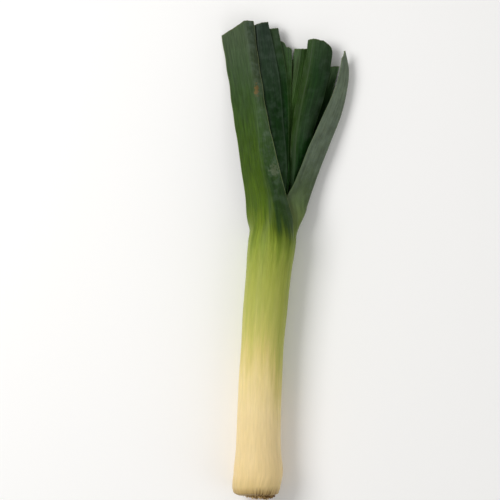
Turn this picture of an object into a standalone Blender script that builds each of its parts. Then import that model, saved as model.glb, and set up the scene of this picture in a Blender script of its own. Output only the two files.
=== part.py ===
"""A leek trimmed for sale, lying on its side.

Pieces: the shaft with its bulb, the basal plate with its trimmed root stubs, and eight
folded strap leaves with cut tips. Metres in the file, +Z up, +Y from the roots to the
leaf tips. The origin lies on the flat spot that the bulb rests on. The design
values below are in millimetres and degrees, and MM turns them to metres at the end.
"""

import math
import random
from dataclasses import dataclass

import bmesh
import bpy
import numpy as np
from mathutils import Vector

MM = 0.001

# Shaft and bulb
AXIS_HEIGHT = 15.8
BULB_RADIUS = 16.25
SHAFT_RADIUS = 14.35
COLLAR_RADIUS = 15.8
COLLAR_Y = 150.0
AXIS_START_X = -0.8
SHAFT_SWAY = 9.1
SWAY_POWER = 2.0
SHAFT_SIDES = 32
BASE_LEAN = 1.6
BASE_TILT = 0.06
BASE_LENGTH = 14.0
JOINT_GAP = 0.3

# Core inside the two outer leaves, above the collar
CORE_RADIUS = 13.1
CORE_END_Y = 175.7
CORE_END_CENTRE = (9.0, 15.0)
CORE_RINGS = 5

# Leaves
LEAF_BASE_Y = 176.2
LEAF_BASE_THICKNESS = 1.4
LEAF_TIP_THICKNESS = 1.0
SHEATH_RADIUS = 15.05
SHEATH_OPENING = 22.0
SHEATH_PARTING = 20.0
SHEATH_ROUNDNESS = 0.7
STRIPS_ACROSS = 10
ROWS_ALONG = 16
EDGE_CROWDING = 1.1

# Roots
PLATE_CENTRE_X = -0.4
PLATE_RADIUS = 9.8
PLATE_THICKNESS = 1.5
PLATE_SIDES = 28
STUB_COUNT = 60
STUB_RADIUS = 0.75
STUB_LENGTH = (0.9, 2.3)
STUB_SIDES = 4
STUB_SEED = 11
GOLDEN_ANGLE = math.radians(137.508)


@dataclass(frozen=True)
class Finish:
    """Colour and surface of one material, the colour in linear RGB."""

    name: str
    colour: tuple
    roughness: float


@dataclass(frozen=True)
class Station:
    """A leaf's section at height y: (x, z) of its left margin, its keel and its right margin."""

    y: float
    left: tuple
    keel: tuple
    right: tuple

    def values(self):
        """Return the three points as one row."""
        return (*self.left, *self.keel, *self.right)


@dataclass(frozen=True)
class Leaf:
    """A folded strap leaf, lofted on three rails: left margin, keel and right margin.

    The tip is a list of (across, y) with across -1 at the left margin, 0 at the keel and
    1 at the right margin. keel_round is small for a sharp fold. sheath_angles, where the
    leaf wraps the shaft, are the angles of its left margin at the collar, its left margin
    where the sheath opens, its keel and its right margin.
    """

    name: str
    stations: tuple
    tip: tuple
    keel_round: float
    sheath_angles: tuple = ()


FINISHES = {
    "shaft": Finish("leek_shaft", (0.78, 0.62, 0.32), 0.42),
    "roots": Finish("root_fibre", (0.38, 0.24, 0.10), 0.85),
    "leaf": Finish("leaf_green", (0.075, 0.14, 0.035), 0.48),
}

# How far the core's end reaches from its centre at eight equal turns, from +X upward
CORE_END_REACH = (11.0, 9.0, 11.2, 9.6, 9.2, 7.8, 6.8, 8.2)

# Height along the shaft and its radius there, from the basal plate to the collar
SHAFT_PROFILE = (
    (-15.6, 12.2),
    (-15.0, 13.9),
    (-13.0, 15.2),
    (-9.0, 15.9),
    (-3.0, BULB_RADIUS),
    (2.0, BULB_RADIUS - 0.05),
    (8.0, 15.5),
    (14.0, 14.95),
    (22.0, SHAFT_RADIUS + 0.3),
    (40.0, SHAFT_RADIUS + 0.15),
    (60.0, SHAFT_RADIUS),
    (80.0, SHAFT_RADIUS),
    (100.0, SHAFT_RADIUS + 0.1),
    (118.0, SHAFT_RADIUS + 0.3),
    (132.0, 15.05),
    (143.0, 15.6),
    (COLLAR_Y, COLLAR_RADIUS),
)

LEAVES = (
    # Front leaf: a roof over the others, its sheath round the left of the shaft
    Leaf(
        "leaf_1",
        (
            Station(166, (-8.4, 13.2), (7.6, 31.0), (21.4, 23.8)),
            Station(180, (-9.2, 14.5), (6.2, 30.2), (17.8, 24.6)),
            Station(198, (-11.9, 14.5), (2.3, 28.4), (13.2, 24.2)),
            Station(231, (-16.8, 9.5), (-1.3, 23.8), (5.6, 20.6)),
            Station(264, (-21.3, 3.6), (-5.6, 19.4), (0.3, 16.6)),
            Station(297, (-26.8, -0.7), (-10.2, 16.0), (-4.2, 13.6)),
        ),
        ((-1, 287.8), (-0.45, 292.5), (0, 296.6), (1, 296.4)),
        0.18,
        (222, 182, 90, 18),
    ),
    # Left-hand leaves under it, each a little further right and lower
    Leaf(
        "leaf_2",
        (
            Station(LEAF_BASE_Y, (-5.0, 15.5), (7.0, 26.2), (16.6, 20.4)),
            Station(198, (-6.0, 13.0), (7.0, 23.2), (18.0, 19.8)),
            Station(231, (-8.0, 8.5), (4.5, 18.2), (15.8, 16.0)),
            Station(262, (-10.0, 5.0), (0.5, 14.8), (12.6, 12.9)),
            Station(296, (-13.0, 2.6), (-2.2, 12.0), (5.7, 10.6)),
        ),
        ((-1, 289), (-0.2, 293.6), (0.3, 295.4), (1, 296.3)),
        0.3,
    ),
    Leaf(
        "leaf_3",
        (
            Station(LEAF_BASE_Y, (-1.5, 13.5), (9.0, 23.2), (17.0, 17.2)),
            Station(198, (-2.0, 11.0), (9.5, 20.2), (18.8, 16.8)),
            Station(231, (-2.5, 6.6), (9.0, 15.0), (19.5, 12.8)),
            Station(262, (-3.0, 3.2), (7.0, 11.6), (17.6, 10.0)),
            Station(292, (-4.0, 1.4), (4.8, 8.9), (12.4, 7.8)),
        ),
        ((-1, 287.8), (0.2, 291.6), (1, 292.4)),
        0.3,
    ),
    Leaf(
        "leaf_4",
        (
            Station(LEAF_BASE_Y, (2.0, 12.0), (10.3, 20.0), (16.8, 14.0)),
            Station(198, (2.0, 9.0), (11.5, 17.3), (18.6, 14.2)),
            Station(231, (3.0, 5.0), (12.5, 12.1), (20.4, 10.3)),
            Station(262, (4.0, 2.2), (13.0, 8.6), (21.4, 7.2)),
            Station(284, (5.0, 0.7), (13.6, 6.2), (21.2, 5.0)),
        ),
        ((-1, 281.6), (0, 283.8), (0.3, 282.8), (0.5, 280.2), (1, 278.6)),
        0.3,
    ),
    # Middle leaf, the innermost
    Leaf(
        "leaf_5",
        (
            Station(LEAF_BASE_Y, (6.2, 10.8), (11.6, 16.3), (17.0, 11.0)),
            Station(198, (7.0, 8.4), (14.2, 12.7), (21.4, 10.2)),
            Station(231, (13.2, 6.8), (19.9, 8.0), (26.0, 6.2)),
            Station(262, (20.4, 5.0), (25.4, 6.2), (30.8, 4.4)),
            Station(278, (23.1, 4.0), (27.6, 5.2), (33.0, 3.4)),
        ),
        ((-1, 278.8), (1, 278.7)),
        0.4,
    ),
    # Wide leaf right of the middle, with a round cut corner
    Leaf(
        "leaf_6",
        (
            Station(LEAF_BASE_Y, (19.0, 14.6), (20.2, 15.2), (21.8, 12.0)),
            Station(198, (20.8, 15.6), (23.8, 16.8), (30.0, 11.8)),
            Station(216, (20.8, 14.2), (25.0, 16.4), (34.0, 11.6)),
            Station(236, (23.4, 12.4), (27.9, 15.4), (39.6, 10.8)),
            Station(250, (26.2, 11.4), (30.6, 14.6), (43.6, 10.2)),
            Station(264, (29.0, 10.4), (33.2, 13.8), (46.4, 9.6)),
            Station(285, (32.4, 9.2), (36.2, 12.8), (49.0, 8.8)),
        ),
        ((-1, 284.2), (0, 284.8), (0.5, 283.6), (0.8, 281), (0.94, 279), (1, 276)),
        0.14,
    ),
    # Under leaf, keel down on the surface
    Leaf(
        "leaf_7",
        (
            Station(LEAF_BASE_Y, (5.0, 8.6), (12.0, 6.4), (18.5, 9.4)),
            Station(198, (14.0, 5.4), (21.5, 3.2), (27.6, 5.8)),
            Station(231, (24.5, 3.0), (34.0, 1.2), (43.0, 3.0)),
            Station(267, (35.0, 2.4), (44.5, 0.6), (52.6, 2.4)),
        ),
        ((-1, 266.5), (1, 267.3)),
        0.5,
    ),
    # Right-hand leaf, folded shut over its keel, its sheath round the right of the shaft
    Leaf(
        "leaf_8",
        (
            Station(166, (1.0, 1.8), (28.2, 12.4), (20.5, 19.8)),
            Station(181, (15.5, 1.6), (33.0, 10.6), (18.3, 21.0)),
            Station(187, (20.6, 1.5), (35.0, 10.0), (21.8, 20.6)),
            Station(198, (29.0, 1.4), (39.0, 9.0), (26.6, 19.4)),
            Station(216, (39.2, 1.0), (46.2, 8.0), (33.9, 17.4)),
            Station(236, (48.6, 0.8), (53.8, 7.2), (43.0, 15.0)),
            Station(250, (52.0, 0.8), (56.9, 6.9), (49.0, 13.4)),
            Station(264, (54.6, 1.6), (58.3, 6.6), (52.8, 11.6)),
            Station(279, (54.8, 4.6), (55.7, 6.6), (55.0, 9.0)),
        ),
        ((-1, 266), (-0.5, 273), (0, 277.2), (1, 272)),
        0.2,
        (-134, -134, -8, 14.5),
    ),
)


def clear_objects():
    """Remove the objects of the scene that the script starts in."""
    for obj in list(bpy.data.objects):
        bpy.data.objects.remove(obj, do_unlink=True)


def make_material(finish):
    """Return a Principled material with the finish's colour and roughness."""
    material = bpy.data.materials.new(finish.name)
    material.use_nodes = True
    shader = material.node_tree.nodes["Principled BSDF"]
    shader.inputs["Base Color"].default_value = (*finish.colour, 1.0)
    shader.inputs["Roughness"].default_value = finish.roughness
    shader.inputs["Metallic"].default_value = 0.0
    return material


def add_object(name, points, faces, material):
    """Make a closed mesh object from points in millimetres and faces of point numbers."""
    mesh = bpy.data.meshes.new(name)
    mesh.from_pydata([tuple(MM * float(c) for c in p) for p in points], [], faces)
    shape = bmesh.new()
    shape.from_mesh(mesh)
    bmesh.ops.recalc_face_normals(shape, faces=shape.faces[:])
    shape.to_mesh(mesh)
    shape.free()
    mesh.materials.append(material)
    mesh.shade_smooth()
    mesh.set_sharp_from_angle(angle=math.radians(45))
    obj = bpy.data.objects.new(name, mesh)
    bpy.context.scene.collection.objects.link(obj)
    return obj


def smooth_step(t):
    """Return a soft ramp from 0 to 1."""
    t = np.clip(t, 0.0, 1.0)
    return t * t * (3.0 - 2.0 * t)


def axis_x(y):
    """Return where the shaft's axis is at height y: it sways above the bulb and leans below."""
    sway = SHAFT_SWAY * (np.clip(y, 0.0, None) / COLLAR_Y) ** SWAY_POWER
    return AXIS_START_X + sway - BASE_LEAN * smooth_step(-y / BASE_LENGTH)


def rail_values(stations, y):
    """Return the stations' values at heights y, on smooth curves through them.

    The curves are cubic, with each inner station's slope taken from both neighbours.
    """
    heights = np.array([s.y for s in stations], float)
    values = np.array([s.values() for s in stations], float)
    steps = np.diff(heights)[:, None]
    slopes = np.diff(values, axis=0) / steps
    tangents = np.empty_like(values)
    tangents[0] = slopes[0]
    tangents[-1] = slopes[-1]
    tangents[1:-1] = (slopes[:-1] * steps[1:] + slopes[1:] * steps[:-1]) / (steps[1:] + steps[:-1])
    i = np.clip(np.searchsorted(heights, y, side="right") - 1, 0, len(heights) - 2)
    step = steps[i]
    t = (y - heights[i])[:, None] / step
    from_start = (2 * t**3 - 3 * t**2 + 1) * values[i] + (t**3 - 2 * t**2 + t) * step * tangents[i]
    from_end = (3 * t**2 - 2 * t**3) * values[i + 1] + (t**3 - t**2) * step * tangents[i + 1]
    return from_start + from_end


def sheath_station(leaf):
    """Return the leaf's first section, on the sheath's ring at the collar."""
    centre = float(axis_x(COLLAR_Y))
    on_ring = []
    for angle in leaf.sheath_angles[1:]:
        turn = math.radians(angle)
        x = centre + SHEATH_RADIUS * math.cos(turn)
        z = AXIS_HEIGHT + SHEATH_RADIUS * math.sin(turn)
        on_ring.append((x, z))
    return Station(COLLAR_Y + JOINT_GAP, *on_ring)


def leaf_points(leaf, across, y):
    """Return points of the leaf's middle surface at one place across and several heights."""
    stations = leaf.stations
    roundness = leaf.keel_round
    if leaf.sheath_angles:
        stations = (sheath_station(leaf), *stations)
        closed = 1.0 - smooth_step((y - COLLAR_Y) / (2 * SHEATH_OPENING))
        roundness = roundness + SHEATH_ROUNDNESS * closed
    values = rail_values(stations, y)
    left, keel, right = values[:, 0:2], values[:, 2:4], values[:, 4:6]
    bend = (np.sqrt(across**2 + roundness**2) - roundness) / (np.sqrt(1 + roundness**2) - roundness)
    bend = np.broadcast_to(bend, y.shape)[:, None]
    section = keel + (right - left) / 2 * across + ((right + left) / 2 - keel) * bend
    if leaf.sheath_angles:
        section = blend_from_ring(leaf, across, y, section)
    return np.stack([section[:, 0], y, section[:, 1]], axis=1)


def blend_from_ring(leaf, across, y, section):
    """Return the section blended from the sheath's ring at the collar to its open form.

    The left margin may climb round the ring as the sheath parts.
    """
    left, open_left, keel, right = leaf.sheath_angles
    climb = smooth_step((y - COLLAR_Y) / SHEATH_PARTING)
    end = left + (open_left - left) * climb if across < 0 else np.full_like(y, right)
    turn = np.radians(keel + (end - keel) * abs(across))
    x = float(axis_x(COLLAR_Y)) + SHEATH_RADIUS * np.cos(turn)
    ring = np.stack([x, AXIS_HEIGHT + SHEATH_RADIUS * np.sin(turn)], axis=1)
    opened = smooth_step((y - COLLAR_Y) / SHEATH_OPENING)[:, None]
    return ring * (1 - opened) + section * opened


def leaf_surface(leaf):
    """Return the middle surface's points, rows up the leaf and columns from left to right."""
    spread = np.linspace(-1, 1, STRIPS_ACROSS + 1)
    spread = np.sign(spread) * np.abs(spread) ** EDGE_CROWDING
    tip_across, tip_y = zip(*leaf.tip)
    base = COLLAR_Y + JOINT_GAP if leaf.sheath_angles else LEAF_BASE_Y
    columns = []
    for across in spread:
        tip = np.interp(across, tip_across, tip_y)
        y = np.linspace(base, tip, ROWS_ALONG + 1)
        columns.append(leaf_points(leaf, float(across), y))
    return np.stack(columns, axis=1)


def make_leaf(leaf, material):
    """Make one leaf as a closed strap, thinner towards its tip."""
    middle = leaf_surface(leaf)
    normal = np.cross(np.gradient(middle, axis=1), np.gradient(middle, axis=0))
    normal /= np.linalg.norm(normal, axis=-1, keepdims=True)
    rows, columns, _ = middle.shape
    half = np.linspace(LEAF_BASE_THICKNESS, LEAF_TIP_THICKNESS, rows)[:, None, None] / 2
    front = (middle + normal * half).reshape(-1, 3)
    back = (middle - normal * half).reshape(-1, 3)
    count = rows * columns
    faces = []
    for row in range(rows - 1):
        for column in range(columns - 1):
            a = row * columns + column
            b, c, d = a + 1, a + columns + 1, a + columns
            faces += [(a, b, c), (a, c, d)]
            faces += [(count + c, count + b, count + a), (count + d, count + c, count + a)]
    for a, b in rim_edges(rows, columns):
        faces += [(b, a, count + a), (b, count + a, count + b)]
    return add_object(leaf.name, np.concatenate([front, back]), faces, material)


def rim_edges(rows, columns):
    """Return the grid's outer edges in order, as pairs of point numbers."""
    base = list(range(columns))
    right = [row * columns + columns - 1 for row in range(1, rows)]
    tip = [(rows - 1) * columns + column for column in range(columns - 2, -1, -1)]
    left = [row * columns for row in range(rows - 2, 0, -1)]
    loop = base + right + tip + left
    return list(zip(loop, loop[1:] + loop[:1]))


def ring(y, centre, reaches, tilt=0.0):
    """Return one ring of points round the shaft's axis, not below the resting plane."""
    points = []
    for side, reach in enumerate(reaches):
        turn = 2 * math.pi * side / SHAFT_SIDES
        x = reach * math.cos(turn)
        z = centre[1] + reach * math.sin(turn)
        points.append((centre[0] + x, y - tilt * x, max(z, 0.0)))
    return points


def core_reach(side):
    """Return how far the core's end reaches at one side, eased between its eight values."""
    place = side * len(CORE_END_REACH) / SHAFT_SIDES
    first = int(place)
    ease = float(smooth_step(place - first))
    after = CORE_END_REACH[(first + 1) % len(CORE_END_REACH)]
    return CORE_END_REACH[first] * (1 - ease) + after * ease


def shaft_rings():
    """Return the rings of the bulb, the shaft and the core above the collar."""
    rings = []
    for y, radius in SHAFT_PROFILE:
        tilt = BASE_TILT * float(smooth_step(-y / BASE_LENGTH))
        rings.append(ring(y, (float(axis_x(y)), AXIS_HEIGHT), [radius] * SHAFT_SIDES, tilt))
    collar_centre = (float(axis_x(COLLAR_Y)), AXIS_HEIGHT)
    for level in range(CORE_RINGS):
        share = level / (CORE_RINGS - 1)
        y = COLLAR_Y + (CORE_END_Y - COLLAR_Y) * share
        centre = [a + (b - a) * share for a, b in zip(collar_centre, CORE_END_CENTRE)]
        reaches = [
            CORE_RADIUS + (core_reach(side) - CORE_RADIUS) * share for side in range(SHAFT_SIDES)
        ]
        rings.append(ring(y, centre, reaches))
    return rings


def make_shaft(material):
    """Make the bulb and the shaft as one solid, with the core that the leaves rise from."""
    rings = shaft_rings()
    points = [point for one in rings for point in one]
    faces = []
    for level in range(len(rings) - 1):
        for side in range(SHAFT_SIDES):
            a = level * SHAFT_SIDES + side
            b = level * SHAFT_SIDES + (side + 1) % SHAFT_SIDES
            faces.append((a, b, b + SHAFT_SIDES, a + SHAFT_SIDES))
    last = (len(rings) - 1) * SHAFT_SIDES
    faces.append(tuple(range(SHAFT_SIDES - 1, -1, -1)))
    faces.append(tuple(last + side for side in range(SHAFT_SIDES)))
    return add_object("shaft", points, faces, material)


def base_y(x):
    """Return the height of the shaft's tilted lower end at x."""
    lower_end = float(axis_x(SHAFT_PROFILE[0][0]))
    return SHAFT_PROFILE[0][0] - BASE_TILT * (x - lower_end)


def make_plate(material):
    """Make the basal plate, a low dome under the shaft's lower end."""
    points = []
    for depth, radius in ((0.0, PLATE_RADIUS), (0.55, PLATE_RADIUS), (1.0, PLATE_RADIUS * 0.72)):
        for side in range(PLATE_SIDES):
            turn = 2 * math.pi * side / PLATE_SIDES
            x = PLATE_CENTRE_X + radius * math.cos(turn)
            y = base_y(x) - JOINT_GAP - depth * PLATE_THICKNESS
            points.append((x, y, AXIS_HEIGHT + radius * math.sin(turn)))
    faces = []
    for level in range(2):
        for side in range(PLATE_SIDES):
            a = level * PLATE_SIDES + side
            b = level * PLATE_SIDES + (side + 1) % PLATE_SIDES
            faces.append((a, a + PLATE_SIDES, b + PLATE_SIDES, b))
    faces.append(tuple(range(PLATE_SIDES)))
    faces.append(tuple(2 * PLATE_SIDES + side for side in range(PLATE_SIDES - 1, -1, -1)))
    return add_object("root_stubs", points, faces, material)


def stub_path(index, draw):
    """Return the points of one trimmed root, which leaves the plate outward and curls."""
    share = math.sqrt((index + 0.5) / STUB_COUNT)
    turn = index * GOLDEN_ANGLE
    radius = share * (PLATE_RADIUS - 0.9)
    outward = Vector((math.cos(turn), 0, math.sin(turn)))
    start = Vector((PLATE_CENTRE_X, 0, AXIS_HEIGHT)) + outward * radius
    start.y = base_y(start.x) - JOINT_GAP - 0.45 * PLATE_THICKNESS
    length = draw.uniform(*STUB_LENGTH)
    heading = (outward * (0.15 + 0.75 * share) + Vector((0, -1, 0))).normalized()
    curl = Vector((draw.uniform(-1, 1), draw.uniform(-0.2, 0.2), draw.uniform(-1, 1))) * 0.55
    points = [start]
    for step in range(3):
        reach = 0.45 * PLATE_THICKNESS if step == 0 else length / 2
        points.append(points[-1] + heading * reach)
        heading = (heading + curl).normalized()
    return points


def make_stub(index, draw, material):
    """Make one trimmed root as a bent, tapering tube."""
    path = stub_path(index, draw)
    points = []
    for level, centre in enumerate(path):
        ahead = path[min(level + 1, len(path) - 1)] - path[max(level - 1, 0)]
        side_way = ahead.cross(Vector((0.3, 0.2, 1.0))).normalized()
        up_way = side_way.cross(ahead).normalized()
        radius = STUB_RADIUS * (1.0 - 0.12 * level)
        for side in range(STUB_SIDES):
            turn = 2 * math.pi * side / STUB_SIDES
            points.append(centre + radius * (side_way * math.cos(turn) + up_way * math.sin(turn)))
    faces = []
    for level in range(len(path) - 1):
        for side in range(STUB_SIDES):
            a = level * STUB_SIDES + side
            b = level * STUB_SIDES + (side + 1) % STUB_SIDES
            faces.append((a, b, b + STUB_SIDES, a + STUB_SIDES))
    last = (len(path) - 1) * STUB_SIDES
    faces.append(tuple(range(STUB_SIDES - 1, -1, -1)))
    faces.append(tuple(last + side for side in range(STUB_SIDES)))
    return add_object(f"stub_{index}", points, faces, material)


def make_roots(material):
    """Make the basal plate and its root stubs, joined into one body."""
    plate = make_plate(material)
    draw = random.Random(STUB_SEED)
    stubs = bpy.data.collections.new("stubs")
    for index in range(STUB_COUNT):
        stub = make_stub(index, draw, material)
        bpy.context.scene.collection.objects.unlink(stub)
        stubs.objects.link(stub)
    bpy.context.scene.collection.children.link(stubs)
    union = plate.modifiers.new("join_stubs", "BOOLEAN")
    union.operation = "UNION"
    union.operand_type = "COLLECTION"
    union.collection = stubs
    union.solver = "MANIFOLD"
    bpy.context.view_layer.update()
    joined = bpy.data.meshes.new_from_object(plate.evaluated_get(bpy.context.evaluated_depsgraph_get()))
    plate.modifiers.remove(union)
    plate.data = joined
    plate.data.name = "root_stubs"
    for stub in list(stubs.objects):
        bpy.data.objects.remove(stub, do_unlink=True)
    bpy.data.collections.remove(stubs)
    return plate


def main():
    """Build the leek."""
    clear_objects()
    materials = {key: make_material(finish) for key, finish in FINISHES.items()}
    make_shaft(materials["shaft"])
    make_roots(materials["roots"])
    for leaf in LEAVES:
        make_leaf(leaf, materials["leaf"])


main()
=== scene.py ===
"""The look of a trimmed leek that lies on its side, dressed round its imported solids.

The shaft's skin, the root end and the eight strap leaves are finer meshes that keep the
form of the solids they stand for, with procedural finishes. Design values are in
millimetres and degrees, as a grower would measure them, and MM turns them to metres.
"""

import logging
import math
import random
from dataclasses import dataclass, field
from enum import Enum

import bpy
import numpy as np
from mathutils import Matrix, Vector


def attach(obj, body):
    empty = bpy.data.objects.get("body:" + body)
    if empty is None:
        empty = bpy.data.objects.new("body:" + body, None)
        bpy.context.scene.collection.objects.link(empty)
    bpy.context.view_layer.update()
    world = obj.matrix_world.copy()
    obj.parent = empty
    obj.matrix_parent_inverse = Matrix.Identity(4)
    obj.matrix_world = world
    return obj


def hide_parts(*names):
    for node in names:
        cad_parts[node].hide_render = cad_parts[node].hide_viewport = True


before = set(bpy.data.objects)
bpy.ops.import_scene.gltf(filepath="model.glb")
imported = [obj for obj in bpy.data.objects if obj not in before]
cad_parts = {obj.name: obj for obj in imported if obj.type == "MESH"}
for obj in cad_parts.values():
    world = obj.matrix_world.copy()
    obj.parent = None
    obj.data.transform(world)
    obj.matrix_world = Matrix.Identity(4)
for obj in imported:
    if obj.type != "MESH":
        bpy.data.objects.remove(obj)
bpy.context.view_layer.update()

LOG = logging.getLogger("leek")

MM = 0.001
BODY = "root"

# Driving sizes, shared with the solids
AXIS_HEIGHT = 15.8
COLLAR_Y = 150.0
COLLAR_RADIUS = 15.8
AXIS_START_X = -0.8
SHAFT_SWAY = 9.1
SWAY_POWER = 2.0
BASE_LEAN = 1.6
BASE_TILT = 0.06
BASE_LENGTH = 14.0
CORE_RADIUS = 13.1
CORE_END_Y = 175.7
CORE_END_CENTRE = (9.0, 15.0)
CORE_END_REACH = (11.0, 9.0, 11.2, 9.6, 9.2, 7.8, 6.8, 8.2)
LEAF_BASE_Y = 176.2
SHEATH_RADIUS = 15.05
SHEATH_OPENING = 22.0
SHEATH_PARTING = 20.0
SHEATH_ROUNDNESS = 0.7

# Veins are counted round the shaft at this radius, from its top, and end at this angle below
VEIN_RADIUS = 15.0
VEIN_START = 90.0
VEIN_SEAM = 222.0

# An inner leaf starts this far below its solid's base, inside the core
LEAF_SUNK = 1.6

# Edges that turn by more than this many degrees are drawn sharp
SHARP_TURN = 55.0
# Index of refraction of moist plant skin
FLESH_IOR = 1.4
# Places that step round by this angle fill a disc evenly
GOLDEN_ANGLE = 137.508

Stops = tuple[tuple[float, str], ...]

# Settings that many nodes share. MapRange takes a value (0), its range (1 and 2) and the
# result's range (3 and 4). A mix of colours takes a share (0) and two colours (6 and 7).
SOFT = {"interpolation_type": "SMOOTHSTEP"}
COLOURS = {"data_type": "RGBA"}
TINT = {"data_type": "RGBA", "blend_type": "MULTIPLY"}
TIMES = {"operation": "MULTIPLY"}
PLUS = {"operation": "ADD"}
MINUS = {"operation": "SUBTRACT"}
# The values that a noise pattern mostly stays between
NOISE_SPAN = {1: 0.3, 2: 0.7}


class Side(Enum):
    """Which face of a strap's grid is the leaf's outer, waxy face."""

    FRONT = 1
    BACK = -1


def linear(code: str) -> tuple[float, float, float, float]:
    """Turn an sRGB hex colour into linear RGBA.

    Args:
        code: six hex digits.

    Returns:
        Linear red, green, blue and an alpha of 1.
    """
    channels = []
    for start in (0, 2, 4):
        value = int(code[start : start + 2], 16) / 255
        channels.append(value / 12.92 if value <= 0.04045 else ((value + 0.055) / 1.055) ** 2.4)
    return (*channels, 1.0)


def smooth_step(t: np.ndarray | float) -> np.ndarray:
    """Return a soft ramp from 0 to 1."""
    t = np.clip(t, 0.0, 1.0)
    return t * t * (3.0 - 2.0 * t)


def rise(place: np.ndarray | float, start: float, end: float) -> np.ndarray:
    """Return a soft ramp from 0 at the start to 1 at the end."""
    return smooth_step((place - start) / (end - start))


def feed(tree: bpy.types.NodeTree, node: bpy.types.Node, inputs: dict) -> None:
    """Set a node's inputs.

    Args:
        tree: the node's tree.
        node: the node.
        inputs: socket name or number to a value, or to the output socket that feeds it.
    """
    for key, value in inputs.items():
        if isinstance(value, bpy.types.NodeSocket):
            tree.links.new(value, node.inputs[key])
        else:
            node.inputs[key].default_value = value


def add_node(
    tree: bpy.types.NodeTree, kind: str, settings: dict | None = None, inputs: dict | None = None
) -> bpy.types.Node:
    """Add a shader node with its settings, its input values and its links.

    Args:
        tree: the tree that the node goes into.
        kind: the node's type name, without the leading ShaderNode.
        settings: properties by name; "stops" fills a colour ramp with (place, hex) pairs.
        inputs: its inputs, as for feed.

    Returns:
        The new node.
    """
    node = tree.nodes.new("ShaderNode" + kind)
    for name, value in (settings or {}).items():
        if name == "stops":
            elements = node.color_ramp.elements
            while len(elements) < len(value):
                elements.new(0.5)
            for element, (place, code) in zip(elements, value):
                element.position = place
                element.color = linear(code)
        else:
            setattr(node, name, value)
    feed(tree, node, inputs or {})
    return node


def new_material(name: str) -> tuple[bpy.types.Material, bpy.types.NodeTree, bpy.types.Node]:
    """Start a new material.

    Args:
        name: the finish's name.

    Returns:
        The material, its node tree and its Principled shader.
    """
    material = bpy.data.materials.new(name)
    material.use_nodes = True
    tree = material.node_tree
    return material, tree, tree.nodes["Principled BSDF"]


class Ripple:
    """A smooth random field: a few seeded sine waves over two coordinates."""

    def __init__(self, seed: int, wavelength: float, waves: int = 6) -> None:
        """Draw the waves.

        Args:
            seed: seed of the draw.
            wavelength: typical wavelength, in the unit of the coordinates.
            waves: how many waves are added.
        """
        draw = np.random.default_rng(seed)
        heading = draw.uniform(0, 2 * math.pi, waves)
        length = wavelength * draw.uniform(0.7, 1.6, waves)
        self.rate = 2 * math.pi / length
        self.way = np.stack([np.cos(heading), np.sin(heading)], axis=1)
        self.phase = draw.uniform(0, 2 * math.pi, waves)
        self.share = math.sqrt(2 / waves)

    def at(self, a: np.ndarray, b: np.ndarray) -> np.ndarray:
        """Return the field's values.

        Args:
            a: first coordinates.
            b: second coordinates, in a shape that goes with the first.

        Returns:
            The values, mostly between -1 and 1.
        """
        total = np.zeros(np.broadcast(a, b).shape)
        for rate, way, phase in zip(self.rate, self.way, self.phase):
            total = total + np.sin(rate * (way[0] * a + way[1] * b) + phase)
        return total * self.share * 0.7


def uneven(seed: int, places: np.ndarray, spacing: float) -> np.ndarray:
    """Return jagged values between -1 and 1 along a line.

    Args:
        seed: seed of the draw.
        places: where the values are wanted, in the unit of the spacing.
        spacing: distance between two drawn values.

    Returns:
        One value for each place, straight between the drawn ones.
    """
    low = float(places.min())
    count = int((float(places.max()) - low) / spacing) + 3
    values = np.random.default_rng(seed).uniform(-1, 1, count)
    return np.interp(places, low + np.arange(count) * spacing, values)


def axis_x(y: np.ndarray | float) -> np.ndarray:
    """Return where the shaft's axis is at height y: it sways above the bulb and leans below."""
    sway = SHAFT_SWAY * (np.clip(y, 0.0, None) / COLLAR_Y) ** SWAY_POWER
    return AXIS_START_X + sway - BASE_LEAN * smooth_step(-y / BASE_LENGTH)


def vein_relief(around: np.ndarray, y: np.ndarray) -> np.ndarray:
    """Return the height of the parallel veins, from -1 to 1.

    Args:
        around: distance across the veins in millimetres.
        y: height along the leek in millimetres.

    Returns:
        The relief, the same on the shaft and on the leaves, so that the veins run on.
    """
    wander = np.sin(around / 2.9 + 1.0 + y / 70) + 0.7 * np.sin(around / 1.37 + y / 41)
    fine = np.sin(2 * math.pi * around / 1.5 + 0.9 * wander)
    broad = np.sin(2 * math.pi * around / 2.6 - 0.8 * wander + 0.8)
    strength = 0.5 + 0.5 * np.sin(around / 4.3 + 0.6 + y / 55)
    return 0.6 * fine * strength + 0.4 * broad


def curve_through(heights: np.ndarray, values: np.ndarray, y: np.ndarray) -> np.ndarray:
    """Return values at heights y, on smooth curves through the given ones.

    Args:
        heights: rising heights.
        values: one row of values for each of those heights.
        y: heights at which values are wanted.

    Returns:
        One row of values for each y.
    """
    steps = np.diff(heights)[:, None]
    slopes = np.diff(values, axis=0) / steps
    tangents = np.empty_like(values)
    tangents[0] = slopes[0]
    tangents[-1] = slopes[-1]
    tangents[1:-1] = (slopes[:-1] * steps[1:] + slopes[1:] * steps[:-1]) / (steps[1:] + steps[:-1])
    i = np.clip(np.searchsorted(heights, y, side="right") - 1, 0, len(heights) - 2)
    step = steps[i, 0][..., None]
    t = np.clip((y - heights[i])[..., None] / step, 0.0, None)
    start = (2 * t**3 - 3 * t**2 + 1) * values[i] + (t**3 - 2 * t**2 + t) * step * tangents[i]
    end = (3 * t**2 - 2 * t**3) * values[i + 1] + (t**3 - t**2) * step * tangents[i + 1]
    return start + end


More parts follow.
